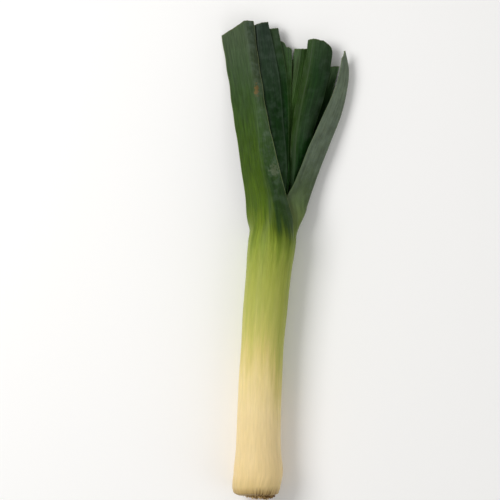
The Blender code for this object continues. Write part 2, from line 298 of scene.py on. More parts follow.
def tube_faces(rings: int, sides: int, right_handed: bool) -> list[tuple[int, ...]]:
    """Return the outward faces of a closed tube, with its two caps last.

    Args:
        rings: how many rings of points the tube has.
        sides: how many points each ring has.
        right_handed: whether the points run right-handed round the way from ring to ring.

    Returns:
        The point numbers of each face.
    """
    faces = []
    for level in range(rings - 1):
        for side in range(sides):
            a = level * sides + side
            b = level * sides + (side + 1) % sides
            faces.append((a, b, b + sides, a + sides) if right_handed else (a, a + sides, b + sides, b))
    first = range(sides)
    last = range((rings - 1) * sides, rings * sides)
    caps = (first[::-1], last) if right_handed else (first, last[::-1])
    return faces + [tuple(cap) for cap in caps]


def make_object(
    name: str,
    points: np.ndarray,
    faces: list[tuple[int, ...]],
    attributes: dict[str, np.ndarray],
    materials: list[bpy.types.Material],
    second: int = 0,
) -> bpy.types.Object:
    """Make a mesh object from points in millimetres.

    Args:
        name: the piece's name.
        points: one row for each point.
        faces: point numbers of each face.
        attributes: vector attributes of the points, by name.
        materials: the materials; the last faces take the second one.
        second: how many of the last faces take the second material.

    Returns:
        The object, linked to the scene.
    """
    mesh = bpy.data.meshes.new(name)
    mesh.from_pydata((points * MM).tolist(), [], faces)
    for key, values in attributes.items():
        layer = mesh.attributes.new(key, "FLOAT_VECTOR", "POINT")
        layer.data.foreach_set("vector", np.ascontiguousarray(values, np.float32).ravel())
    for material in materials:
        mesh.materials.append(material)
    if second:
        slots = np.zeros(len(faces), np.int32)
        slots[-second:] = 1
        mesh.polygons.foreach_set("material_index", slots)
    mesh.shade_smooth()
    mesh.set_sharp_from_angle(angle=math.radians(SHARP_TURN))
    mesh.update()
    obj = bpy.data.objects.new(name, mesh)
    bpy.context.scene.collection.objects.link(obj)
    return obj


@dataclass(frozen=True)
class Settling:
    """The slight bends that leaves take after cutting and packing.

    One field moves all leaves alike, so that they stay clear of each other.
    """

    start_y: float = 172.0
    end_y: float = 222.0
    lift: float = 0.55
    lift_wave: float = 52.0
    shift: float = 0.45
    shift_wave: float = 70.0

    def bend(self, points: np.ndarray) -> np.ndarray:
        """Bend everything above the collar a little.

        Args:
            points: rows of x, y, z in millimetres.

        Returns:
            The moved points.
        """
        x, y, z = points[..., 0], points[..., 1], points[..., 2]
        free = rise(y, self.start_y, self.end_y)
        lift = Ripple(21, self.lift_wave).at(x, y) * self.lift * free * np.clip(z / 6.0, 0.0, 1.0)
        shift = Ripple(22, self.shift_wave).at(x * 0.3, y) * self.shift * free
        return np.stack([x + shift, y, z + lift], axis=-1)


@dataclass(frozen=True)
class Blemish:
    """A mark on a leaf, seen from above: its middle, size and colour."""

    x: float
    y: float
    width: float
    length: float
    colour: str
    strength: float

    def lay(
        self,
        tree: bpy.types.NodeTree,
        spot: bpy.types.NodeSocket,
        clouds: bpy.types.NodeSocket,
        under: bpy.types.NodeSocket,
    ) -> bpy.types.NodeSocket:
        """Lay the mark, with a soft uneven edge, over a colour.

        Args:
            tree: the material's tree.
            spot: the socket of the place on the leek, in metres.
            clouds: a noise value that makes the mark's edge uneven.
            under: the colour under the mark.

        Returns:
            The colour with the mark.
        """
        middle = (self.x * MM, self.y * MM, 0.0)
        rate = (2 / (self.width * MM), 2 / (self.length * MM), 0.0)
        moved = add_node(tree, "VectorMath", MINUS, {0: spot, 1: middle}).outputs[0]
        scaled = add_node(tree, "VectorMath", TIMES, {0: moved, 1: rate}).outputs[0]
        away = add_node(tree, "VectorMath", {"operation": "LENGTH"}, {0: scaled}).outputs["Value"]
        ragged = add_node(tree, "MapRange", None, {0: clouds, **NOISE_SPAN, 3: -0.6, 4: 0.6}).outputs[0]
        rough = add_node(tree, "Math", PLUS, {0: away, 1: ragged}).outputs[0]
        fade = {0: rough, 1: 0.45, 2: 1.1, 3: self.strength, 4: 0.0}
        inside = add_node(tree, "MapRange", SOFT, fade).outputs[0]
        return add_node(tree, "Mix", COLOURS, {0: inside, 6: under, 7: linear(self.colour)}).outputs[2]


@dataclass(frozen=True)
class Grain:
    """A pattern of streaks that follow the veins, with their real width and length."""

    width: float
    length: float
    detail: float = 3.0

    def noise(self, tree: bpy.types.NodeTree, veins: bpy.types.NodeSocket) -> bpy.types.NodeSocket:
        """Add the pattern and return its value, around 0.5.

        Args:
            tree: the material's tree.
            veins: the socket of the veins attribute, in millimetres across and along.

        Returns:
            The output socket of the pattern.
        """
        rate = (1 / self.width, 1 / self.length, 0.0)
        place = add_node(tree, "VectorMath", TIMES, {0: veins, 1: rate})
        settings = {"Vector": place.outputs[0], "Scale": 1.0, "Detail": self.detail, "Roughness": 0.6}
        return add_node(tree, "TexNoise", None, settings).outputs[0]


# Green that runs down between the veins, broad streaks, and the veins themselves. Real
# veins stand about 1 mm apart, and the finest of these are drawn at that spacing.
LONG_RUNS = Grain(3.4, 46.0, 4.0)
STREAKS = Grain(1.9, 13.0, 4.0)
VEINS = Grain(0.7, 24.0, 4.0)
# How much darker and lighter the streaks are on the shaft and on the blades, and the strength
# and the depth in millimetres of the veins' bump
SHAFT_TONE = 0.07
BLADE_TONE = 0.34
VEIN_BUMP = 0.4
VEIN_DEPTH = 0.13


class VeinedGround:
    """The nodes that the sheath's skin and the leaf blades share, so that both run on."""

    def __init__(self, tree: bpy.types.NodeTree) -> None:
        """Add the attribute and the three patterns.

        Args:
            tree: the material's tree.
        """
        self.tree = tree
        veins = add_node(tree, "Attribute", {"attribute_name": "veins"}).outputs["Vector"]
        place = add_node(tree, "SeparateXYZ", None, {0: veins})
        self.around = place.outputs[0]
        self.height = place.outputs[1]
        self.across = place.outputs[2]
        self.runs = LONG_RUNS.noise(tree, veins)
        self.streaks = STREAKS.noise(tree, veins)
        self.veins = VEINS.noise(tree, veins)

    def ramp(self, height: bpy.types.NodeSocket, stops: Stops) -> bpy.types.NodeSocket:
        """Return the colour at a height, from stops in millimetres.

        Args:
            height: socket with the height in millimetres.
            stops: heights with their hex colours, from low to high.

        Returns:
            The colour socket.
        """
        low, high = stops[0][0], stops[-1][0]
        share = add_node(self.tree, "MapRange", None, {0: height, 1: low, 2: high})
        shares = [((y - low) / (high - low), code) for y, code in stops]
        return add_node(self.tree, "ValToRGB", {"stops": shares}, {0: share.outputs[0]}).outputs[0]

    def uneven_height(self, reach: float) -> bpy.types.NodeSocket:
        """Return the height, read too high or too low here and there along the runs.

        Args:
            reach: how far it may be off, in millimetres.

        Returns:
            The height socket, in millimetres.
        """
        tree = self.tree
        along_runs = {0: self.runs, **NOISE_SPAN, 3: -reach, 4: reach}
        offset = add_node(tree, "MapRange", None, along_runs).outputs[0]
        # The bulb's own colour is even
        over_bulb = {0: self.height, 1: -16.0, 2: 50.0, 3: 0.12, 4: 1.0}
        share = add_node(tree, "MapRange", None, over_bulb).outputs[0]
        used = add_node(tree, "Math", TIMES, {0: offset, 1: share}).outputs[0]
        return add_node(tree, "Math", PLUS, {0: self.height, 1: used}).outputs[0]

    def furrows(self) -> bpy.types.NodeSocket:
        """Return the streaks and the veins together, around 1."""
        return add_node(self.tree, "Math", PLUS, {0: self.streaks, 1: self.veins}).outputs[0]

    def toned(self, colour: bpy.types.NodeSocket) -> bpy.types.NodeSocket:
        """Lay streaks and veins over a colour, faint on the shaft and strong on the blades.

        Args:
            colour: the colour under them.

        Returns:
            The colour socket.
        """
        tree = self.tree
        up_the_neck = {0: self.height, 1: 120.0, 2: 190.0, 3: SHAFT_TONE, 4: BLADE_TONE}
        strength = add_node(tree, "MapRange", None, up_the_neck).outputs[0]
        dark = add_node(tree, "Math", MINUS, {0: 1.0, 1: strength}).outputs[0]
        light = add_node(tree, "Math", PLUS, {0: 1.0, 1: strength}).outputs[0]
        span = {0: self.furrows(), 1: 0.72, 2: 1.28, 3: dark, 4: light}
        tone = add_node(tree, "MapRange", None, span).outputs[0]
        return add_node(tree, "Mix", TINT, {0: 1.0, 6: colour, 7: tone}).outputs[2]

    def relief(self) -> bpy.types.NodeSocket:
        """Return a normal socket that raises the veins."""
        settings = {"Strength": VEIN_BUMP, "Distance": VEIN_DEPTH * MM, "Height": self.veins}
        return add_node(self.tree, "Bump", None, settings).outputs[0]


@dataclass(frozen=True)
class SheathSkin:
    """Fresh leek sheath: a moist, smooth skin over pale flesh, white below and green above.

    It grew, so nothing polished it: it gives soft broad highlights and a milky depth.
    """

    name: str = "fresh_sheath_skin"
    # Height along the shaft in millimetres and the skin's colour there
    heights: Stops = (
        (-16.0, "AE9059"),
        (-11.0, "D7BD84"),
        (-3.0, "E6CC94"),
        (10.0, "E7CE98"),
        (40.0, "E9D29B"),
        (62.0, "E3CF8F"),
        (78.0, "D2C277"),
        (92.0, "BDB863"),
        (108.0, "ACAE56"),
        (124.0, "A2A74C"),
        (138.0, "949D42"),
        (150.0, "7F8E32"),
        (164.0, "60731A"),
        (178.0, "49600A"),
        (192.0, "3C5307"),
    )
    earth: str = "644822"
    roughness: float = 0.38
    milkiness: float = 0.2
    milk_depth: float = 1.6
    # How far red, green and blue light spread in the flesh, as shares of that depth
    milk_spread: tuple[float, float, float] = (1.0, 0.8, 0.45)
    gloss: float = 0.16
    # On the right-hand side the green starts this much lower, and at its far side lower still: partly
    # the leek's own greener side, partly painted shade of the side away from the key lamp
    right_shift: float = 7.0
    far_green_and_shade_shift: float = 20.0
    # How far the colours' heights shift up and down along the runs
    unevenness: float = 9.0

    def colour(self, ground: VeinedGround) -> bpy.types.NodeSocket:
        """Return the skin's colour, without stains.

        Args:
            ground: the veined ground.

        Returns:
            The colour socket.
        """
        tree = ground.tree
        # Partly painted shade: the right-hand and far sides take the greener, darker colours of greater
        # heights
        to_right = {0: ground.around, 1: -3.0, 2: 11.0, 3: 0.0, 4: self.right_shift}
        shift = add_node(tree, "MapRange", SOFT, to_right).outputs[0]
        to_far_side = {0: ground.around, 1: 6.0, 2: 15.0, 3: 0.0, 4: self.far_green_and_shade_shift}
        far = add_node(tree, "MapRange", SOFT, to_far_side).outputs[0]
        low_down = {0: ground.height, 1: 100.0, 2: 142.0, 3: 1.0, 4: 0.0}
        below = add_node(tree, "MapRange", SOFT, low_down).outputs[0]
        far = add_node(tree, "Math", TIMES, {0: far, 1: below}).outputs[0]
        both = add_node(tree, "Math", PLUS, {0: shift, 1: far}).outputs[0]
        above = add_node(tree, "MapRange", None, {0: ground.height, 1: 8.0, 2: 50.0}).outputs[0]
        used = add_node(tree, "Math", TIMES, {0: both, 1: above}).outputs[0]
        own_height = ground.uneven_height(self.unevenness)
        height = add_node(tree, "Math", PLUS, {0: own_height, 1: used}).outputs[0]
        return ground.toned(ground.ramp(height, self.heights))

    def stain(self, ground: VeinedGround) -> bpy.types.NodeSocket:
        """Return how much earth the root end's furrows hold, most of it under the cut roots.

        Args:
            ground: the veined ground.

        Returns:
            The socket of the earth's share, 0 to 1.
        """
        tree = ground.tree
        near_root = add_node(tree, "MapRange", None, {0: ground.height, 1: -9.5, 2: -15.2}).outputs[0]
        in_furrows = {0: ground.furrows(), 1: 0.94, 2: 1.12, 3: 0.12, 4: 1.0}
        held = add_node(tree, "MapRange", None, in_furrows).outputs[0]
        aside = add_node(tree, "Math", MINUS, {0: ground.around, 1: 5.0}).outputs[0]
        aside = add_node(tree, "Math", {"operation": "ABSOLUTE"}, {0: aside}).outputs[0]
        side = add_node(tree, "MapRange", None, {0: aside, 1: 5.0, 2: 14.0, 3: 1.0, 4: 0.25}).outputs[0]
        stain = add_node(tree, "Math", TIMES, {0: near_root, 1: held}).outputs[0]
        return add_node(tree, "Math", TIMES, {0: stain, 1: side}).outputs[0]

    def build(self) -> bpy.types.Material:
        """Build the skin's material.

        Returns:
            The material.
        """
        material, tree, shader = new_material(self.name)
        ground = VeinedGround(tree)
        shares = {0: self.stain(ground), 6: self.colour(ground), 7: linear(self.earth)}
        mixed = add_node(tree, "Mix", COLOURS, shares)
        feed(tree, shader, {"Base Color": mixed.outputs[2], "Roughness": self.moisture(ground)})
        feed(tree, shader, {"Normal": ground.relief(), **self.depth()})
        return material

    def moisture(self, ground: VeinedGround) -> bpy.types.NodeSocket:
        """Return the skin's roughness, which varies a little along the runs.

        Args:
            ground: the veined ground.

        Returns:
            The roughness socket.
        """
        limits = {3: self.roughness - 0.04, 4: self.roughness + 0.08}
        along_runs = {0: ground.runs, **NOISE_SPAN, **limits}
        return add_node(ground.tree, "MapRange", None, along_runs).outputs[0]

    def depth(self) -> dict:
        """Return the shader's values for the skin's gloss and its milky depth.

        Returns:
            The values by socket name.
        """
        return {
            "IOR": FLESH_IOR,
            "Specular IOR Level": self.gloss,
            "Subsurface Weight": self.milkiness,
            "Subsurface Radius": self.milk_spread,
            "Subsurface Scale": self.milk_depth * MM,
        }


@dataclass(frozen=True)
class LeafBlade:
    """Leek leaf: a tough green strap under a thin blue-grey wax bloom, ribbed by its veins.

    The bloom scatters light, so the surface is satin, and bare or rubbed stretches shine.
    """

    name: str
    # Height in millimetres and colour, left and right of the keel
    left: Stops
    right: Stops
    margin: str = "66764A"
    margin_width: float = 0.8
    margin_strength: float = 0.28
    bloom: str = "8C9C90"
    bloom_strength: float = 0.06
    right_bloom: float = 0.06
    # Painted shade: share of the colour that is left at the right-hand margin, darker there as if in
    # shade
    far_shade: float = 1.0
    sheath: SheathSkin | None = None
    blemishes: tuple[Blemish, ...] = ()
    roughness: float = 0.46
    gloss: float = 0.14
    # The colour of a cut end that has dried a little
    dried: str = "69703F"
    unevenness: float = 8.0

    def green(self, ground: VeinedGround) -> bpy.types.NodeSocket:
        """Return the veined green of both halves, with the sheath's colour at its base.

        Args:
            ground: the veined ground.

        Returns:
            The colour socket.
        """
        tree = ground.tree
        height = ground.uneven_height(self.unevenness)
        left = ground.ramp(height, self.left)
        right = ground.ramp(height, self.right)
        wander = {0: ground.runs, **NOISE_SPAN, 3: -0.12, 4: 0.12}
        drift = add_node(tree, "MapRange", None, wander).outputs[0]
        place = add_node(tree, "Math", PLUS, {0: ground.across, 1: drift}).outputs[0]
        side = add_node(tree, "MapRange", SOFT, {0: place, 1: -0.22, 2: 0.3}).outputs[0]
        halves = add_node(tree, "Mix", COLOURS, {0: side, 6: left, 7: right}).outputs[2]
        # Painted shade: the colour darkens towards the right-hand margin
        if self.far_shade < 1.0:
            outward = {0: ground.across, 1: 0.2, 2: 0.9, 3: 1.0, 4: self.far_shade}
            far = add_node(tree, "MapRange", SOFT, outward).outputs[0]
            halves = add_node(tree, "Mix", TINT, {0: 1.0, 6: halves, 7: far}).outputs[2]
        toned = ground.toned(halves)
        if self.sheath is None:
            return toned
        # Right of the keel the sheath turns to leaf earlier
        early = add_node(tree, "Math", TIMES, {0: side, 1: 9.0}).outputs[0]
        level = add_node(tree, "Math", PLUS, {0: ground.height, 1: early}).outputs[0]
        opened = add_node(tree, "MapRange", SOFT, {0: level, 1: 150.0, 2: 170.0}).outputs[0]
        skin = self.sheath.colour(ground)
        return add_node(tree, "Mix", COLOURS, {0: opened, 6: skin, 7: toned}).outputs[2]

    def bloomed(
        self, ground: VeinedGround, waxed: bpy.types.NodeSocket, outer: bpy.types.NodeSocket
    ) -> bpy.types.NodeSocket:
        """Return the green under its bloom, which only the outer face has.

        Args:
            ground: the veined ground.
            waxed: how whole the bloom is.
            outer: 1 on the leaf's outer face.

        Returns:
            The colour socket.
        """
        tree = ground.tree
        halves = {0: ground.across, 1: -0.15, 2: 0.45, 3: self.bloom_strength, 4: self.right_bloom}
        half = add_node(tree, "MapRange", SOFT, halves).outputs[0]
        wax = add_node(tree, "Math", TIMES, {0: waxed, 1: half}).outputs[0]
        wax = add_node(tree, "Math", TIMES, {0: wax, 1: outer}).outputs[0]
        shares = {0: wax, 6: self.green(ground), 7: linear(self.bloom)}
        return add_node(tree, "Mix", COLOURS, shares).outputs[2]

    def margined(
        self,
        ground: VeinedGround,
        to_margin: bpy.types.NodeSocket,
        above: bpy.types.NodeSocket,
        under: bpy.types.NodeSocket,
    ) -> bpy.types.NodeSocket:
        """Lay the thin pale margins, worn here and there, over a colour.

        Args:
            ground: the veined ground.
            to_margin: the distance to the nearer margin, in millimetres.
            above: 0 on the sheath and 1 on the open leaf.
            under: the colour under the margins.

        Returns:
            The colour socket.
        """
        tree = ground.tree
        along_runs = {0: ground.runs, 1: 0.35, 2: 0.6, 3: 0.4, 4: 1.0}
        worn = add_node(tree, "MapRange", None, along_runs).outputs[0]
        inward = {0: to_margin, 1: 0.05, 2: self.margin_width, 3: self.margin_strength, 4: 0.0}
        share = add_node(tree, "MapRange", SOFT, inward).outputs[0]
        share = add_node(tree, "Math", TIMES, {0: share, 1: worn}).outputs[0]
        share = add_node(tree, "Math", TIMES, {0: share, 1: above}).outputs[0]
        return add_node(tree, "Mix", COLOURS, {0: share, 6: under, 7: linear(self.margin)}).outputs[2]

    def build(self) -> bpy.types.Material:
        """Build the blade's material.

        Returns:
            The material.
        """
        material, tree, shader = new_material(self.name)
        ground = VeinedGround(tree)
        edges = add_node(tree, "Attribute", {"attribute_name": "edges"}).outputs["Vector"]
        to_margin, to_tip, outer = add_node(tree, "SeparateXYZ", None, {0: edges}).outputs
        spot = add_node(tree, "TexCoord").outputs["Object"]
        # Wax bloom in cloudy patches of 3 to 5 mm, rubbed thin in places
        patches = {"Vector": spot, "Scale": 210.0, "Detail": 4.0, "Roughness": 0.55}
        clouds = add_node(tree, "TexNoise", None, patches).outputs[0]
        cloud = add_node(tree, "MapRange", SOFT, {0: clouds, 1: 0.40, 2: 0.72}).outputs[0]
        above = add_node(tree, "MapRange", None, {0: ground.height, 1: 160.0, 2: 200.0}).outputs[0]
        waxed = add_node(tree, "Math", TIMES, {0: cloud, 1: above}).outputs[0]
        colour = self.margined(ground, to_margin, above, self.bloomed(ground, waxed, outer))
        end = add_node(tree, "MapRange", SOFT, {0: to_tip, 1: 0.1, 2: 1.0, 3: 0.3, 4: 0.0}).outputs[0]
        colour = add_node(tree, "Mix", COLOURS, {0: end, 6: colour, 7: linear(self.dried)}).outputs[2]
        fine = {"Vector": spot, "Scale": 620.0, "Detail": 3.0, "Roughness": 0.6}
        specks = add_node(tree, "TexNoise", None, fine).outputs[0]
        for mark in self.blemishes:
            colour = mark.lay(tree, spot, specks, colour)
        limits = {3: self.roughness - 0.06, 4: self.roughness + 0.12}
        satin = add_node(tree, "MapRange", None, {0: waxed, **limits}).outputs[0]
        if self.sheath is None:
            feed(tree, shader, {"IOR": FLESH_IOR, "Specular IOR Level": self.gloss})
        else:
            feed(tree, shader, self.sheath.depth())
            opened = add_node(tree, "MapRange", None, {0: ground.height, 1: 146.0, 2: 172.0}).outputs[0]
            moist = self.sheath.moisture(ground)
            shares = {0: opened, 2: moist, 3: satin}
            satin = add_node(tree, "Mix", {"data_type": "FLOAT"}, shares).outputs[0]
        feed(tree, shader, {"Base Color": colour, "Roughness": satin, "Normal": ground.relief()})
        return material


@dataclass(frozen=True)
class CutFlesh:
    """The knife-cut end of a leaf: open pale green tissue that has dried a little."""

    name: str = "cut_leaf_flesh"
    wet: str = "66794A"
    dry: str = "8C9163"
    roughness: float = 0.7
    bump: float = 0.6
    bump_depth: float = 0.1

    def build(self) -> bpy.types.Material:
        """Build the cut's material.

        Returns:
            The material.
        """
        material, tree, shader = new_material(self.name)
        spot = add_node(tree, "TexCoord").outputs["Object"]
        # Vein ends, about half a millimetre across
        ends = {"Vector": spot, "Scale": 1600.0, "Detail": 2.0}
        cells = add_node(tree, "TexNoise", None, ends).outputs[0]
        stops = [(0.35, self.wet), (0.65, self.dry)]
        colour = add_node(tree, "ValToRGB", {"stops": stops}, {0: cells}).outputs[0]
        bump = {"Strength": self.bump, "Distance": self.bump_depth * MM, "Height": cells}
        relief = add_node(tree, "Bump", None, bump).outputs[0]
        feed(tree, shader, {"Base Color": colour, "Roughness": self.roughness, "Normal": relief})
        return material


@dataclass(frozen=True)
class RootFibre:
    """Trimmed leek root: a dry, wrinkled cord with earth left on it. It is matt and uneven."""

    name: str = "dry_root_fibre"
    # Partly the roots' own tan, partly painted light: the colours are lighter to make up for the shade
    # of the root end, which faces away from the key lamp
    pale: str = "D6BA82"
    middle: str = "AC8C56"
    dark: str = "70522A"
    roughness: float = 0.85
    bump: float = 0.7
    bump_depth: float = 0.15

    def build(self) -> bpy.types.Material:
        """Build the roots' material.

        Returns:
            The material.
        """
        material, tree, shader = new_material(self.name)
        spot = add_node(tree, "TexCoord").outputs["Object"]
        tint = add_node(tree, "Attribute", {"attribute_name": "veins"}).outputs["Vector"]
        drawn = add_node(tree, "SeparateXYZ", None, {0: tint}).outputs[0]
        # Earth clings in specks of 1 mm or so
        specks = {"Vector": spot, "Scale": 620.0, "Detail": 5.0}
        earth = add_node(tree, "TexNoise", None, specks).outputs[0]
        mixed = add_node(tree, "Math", PLUS, {0: earth, 1: drawn}).outputs[0]
        stops = [(0.40, self.dark), (0.58, self.middle), (0.82, self.pale)]
        colour = add_node(tree, "ValToRGB", {"stops": stops}, {0: mixed}).outputs[0]
        bump = {"Strength": self.bump, "Distance": self.bump_depth * MM, "Height": earth}
        relief = add_node(tree, "Bump", None, bump).outputs[0]
        feed(tree, shader, {"Base Color": colour, "Roughness": self.roughness, "Normal": relief})
        return material


@dataclass(frozen=True)
class Station:
    """A leaf's section at height y: (x, z) of its left margin, its keel and its right margin."""

    y: float
    left: tuple[float, float]
    keel: tuple[float, float]
    right: tuple[float, float]

    def values(self) -> tuple[float, ...]:
        """Return the three points as one row."""
        return (*self.left, *self.keel, *self.right)


@dataclass(frozen=True)
class Shaft:
    """The bulb and the shaft, with the core that the inner leaves rise from."""

    # Height and radius, from the basal plate to the collar
    profile: tuple[tuple[float, float], ...] = (
        (-16.3, 9.0),
        (-16.1, 10.8),
        (-15.6, 12.4),
        (-15.0, 13.9),
        (-13.0, 15.2),
        (-9.0, 15.9),
        (-3.0, 16.25),
        (2.0, 16.2),
        (8.0, 15.5),
        (14.0, 14.95),
        (22.0, 14.65),
        (40.0, 14.5),
        (60.0, 14.35),
        (80.0, 14.35),
        (100.0, 14.45),
        (118.0, 14.65),
        (132.0, 15.05),
        (143.0, 15.6),
        (COLLAR_Y, COLLAR_RADIUS),
    )
    sides: int = 224
    rim_y: float = -13.0
    rim_hang: float = 1.3
    rim_rows: int = 22
    rows: int = 250
    core_rows: int = 14
    vein_height: float = 0.05
    swell_height: float = 0.16
    furrow_depth: float = 0.09

    def radius(self, y: np.ndarray) -> np.ndarray:
        """Return the shaft's radius, smooth between the profile's points.

        Args:
            y: heights in millimetres.

        Returns:
            One radius for each height.
        """
        heights, radii = np.array(self.profile).T
        inside = np.clip(y, heights[0], heights[-1])
        return curve_through(heights, radii[:, None], inside)[..., 0]

    def surface(self, turn: np.ndarray, y: np.ndarray) -> np.ndarray:
        """Return points on the skin.

        Args:
            turn: angles round the axis in radians, from +X upward.
            y: heights in millimetres, of the same shape.

        Returns:
            Rows of x, y, z in millimetres.
        """
        around = VEIN_RADIUS * (math.radians(VEIN_START) - turn)
        strength = 0.35 + 0.65 * rise(y, 40.0, 130.0)
        veins = self.vein_height * strength * vein_relief(around, y)
        calm = 1.0 - rise(y, 128.0, 142.0)
        swell = Ripple(5, 46.0).at(VEIN_RADIUS * np.sin(turn), y) * self.swell_height * calm
        low = rise(-y, 8.0, 15.0)
        furrows = self.furrow_depth * low * vein_relief(around * 1.3, y)
        reach = self.radius(y) + veins + swell + furrows
        tilt = BASE_TILT * smooth_step(-y / BASE_LENGTH)
        x = reach * np.cos(turn)
        z = np.maximum(AXIS_HEIGHT + reach * np.sin(turn), 0.0)
        # The left-hand rim hangs a little lower than the plate
        hang = self.rim_hang * low * rise(-x, 2.0, 13.0)
        return np.stack([axis_x(y) + x, y - tilt * x - hang, z], axis=-1)

    def core_ring(self, share: float, turn: np.ndarray) -> np.ndarray:
        """Return one ring of the core above the collar.

        Args:
            share: the ring's place, 0 at the collar and 1 at the core's end.
            turn: angles round the axis in radians, from +X upward.

        Returns:
            Rows of x, y, z in millimetres.
        """
        place = (turn / (2 * math.pi)) % 1.0 * len(CORE_END_REACH)
        first = np.floor(place).astype(int) % len(CORE_END_REACH)
        reaches = np.array(CORE_END_REACH)
        ease = smooth_step(place - np.floor(place))
        end = reaches[first] * (1 - ease) + reaches[(first + 1) % len(reaches)] * ease
        reach = CORE_RADIUS + (end - CORE_RADIUS) * share
        x = float(axis_x(COLLAR_Y)) * (1 - share) + CORE_END_CENTRE[0] * share + reach * np.cos(turn)
        z = AXIS_HEIGHT * (1 - share) + CORE_END_CENTRE[1] * share + reach * np.sin(turn)
        y = np.full_like(turn, COLLAR_Y + (CORE_END_Y - COLLAR_Y) * share)
        return np.stack([x, y, z], axis=-1)

    def build(self, skin: bpy.types.Material) -> bpy.types.Object:
        """Build the shaft's skin as one closed mesh.

        Args:
            skin: the skin's material.

        Returns:
            The skin's object.
        """
        turn = math.radians(VEIN_SEAM) - np.arange(self.sides)[::-1] * 2 * math.pi / self.sides
        low, high = self.profile[0][0], COLLAR_Y
        # Rows crowd towards the round root end
        rim = np.linspace(0, 1, self.rim_rows, endpoint=False)
        share = np.linspace(0, 1, self.rows + 1)
        above = self.rim_y + (high - self.rim_y) * (0.55 * share + 0.45 * share**2.2)
        heights = np.concatenate([low + (self.rim_y - low) * rim**1.6, above])
        rings = [self.surface(turn, np.full_like(turn, y)) for y in heights]
        rings += [self.core_ring(level / self.core_rows, turn) for level in range(self.core_rows + 1)]
        points = np.concatenate(rings)
        around = VEIN_RADIUS * (math.radians(VEIN_START) - turn)
        veins = [np.stack([around, ring[:, 1], np.zeros_like(around)], axis=1) for ring in rings]
        faces = tube_faces(len(rings), self.sides, right_handed=False)
        piece = make_object("shaft_skin", points, faces, {"veins": np.concatenate(veins)}, [skin])
        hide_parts("shaft")
        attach(piece, BODY)
        return piece


